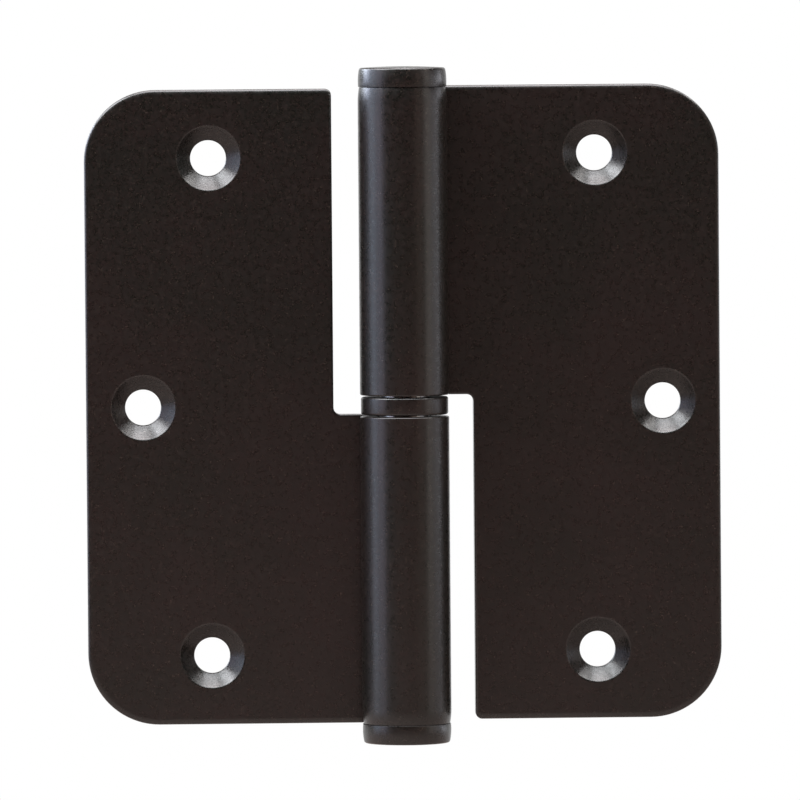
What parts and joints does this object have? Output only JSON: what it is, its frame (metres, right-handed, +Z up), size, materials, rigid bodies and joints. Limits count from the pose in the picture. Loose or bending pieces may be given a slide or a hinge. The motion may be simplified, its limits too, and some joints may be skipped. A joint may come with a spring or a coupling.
{
  "type": "lift-off hinge",
  "caption": "Lift-off butt hinge: two steel leaves with large rounded corners and countersunk holes, rolled into knuckles on a fixed pin, with a thrust ring and end caps.",
  "frame": {"origin": "on the pin's axis, halfway up the barrel", "axes": "+Z up along the pin, the way the door leaf lifts off; +Y towards the leaves' backs, which lie against frame and door; the frame leaf is on the -X side and the door leaf on the +X side"},
  "size_m": [0.089, 0.0124, 0.0948],
  "materials": {
    "leaf_coat": "fine-textured satin dark bronze coat on steel",
    "ring_coat": "satin dark bronze coat on steel",
    "cap_coat": "satin dark bronze coat on steel",
    "pin_steel": "ground steel with a film of grease"
  },
  "bodies": {
    "frame_side": {"frame_leaf": "leaf_coat", "hinge_pin": "pin_steel", "bottom_cap": "cap_coat"},
    "thrust_ring": {"thrust_ring": "ring_coat"},
    "door_side": {"door_leaf": "leaf_coat", "top_cap": "cap_coat"}
  },
  "joints": [
    {"name": "leaf_swing", "type": "hinge", "parent": "frame_side", "child": "thrust_ring", "pos_m": [0, 0, 0], "axis": [0, 0, 1], "range_deg": [-180, 110]},
    {"name": "lift_off", "type": "slide", "parent": "thrust_ring", "child": "door_side", "axis": [0, 0, 1], "range_m": [0, 0.036]}
  ]
}
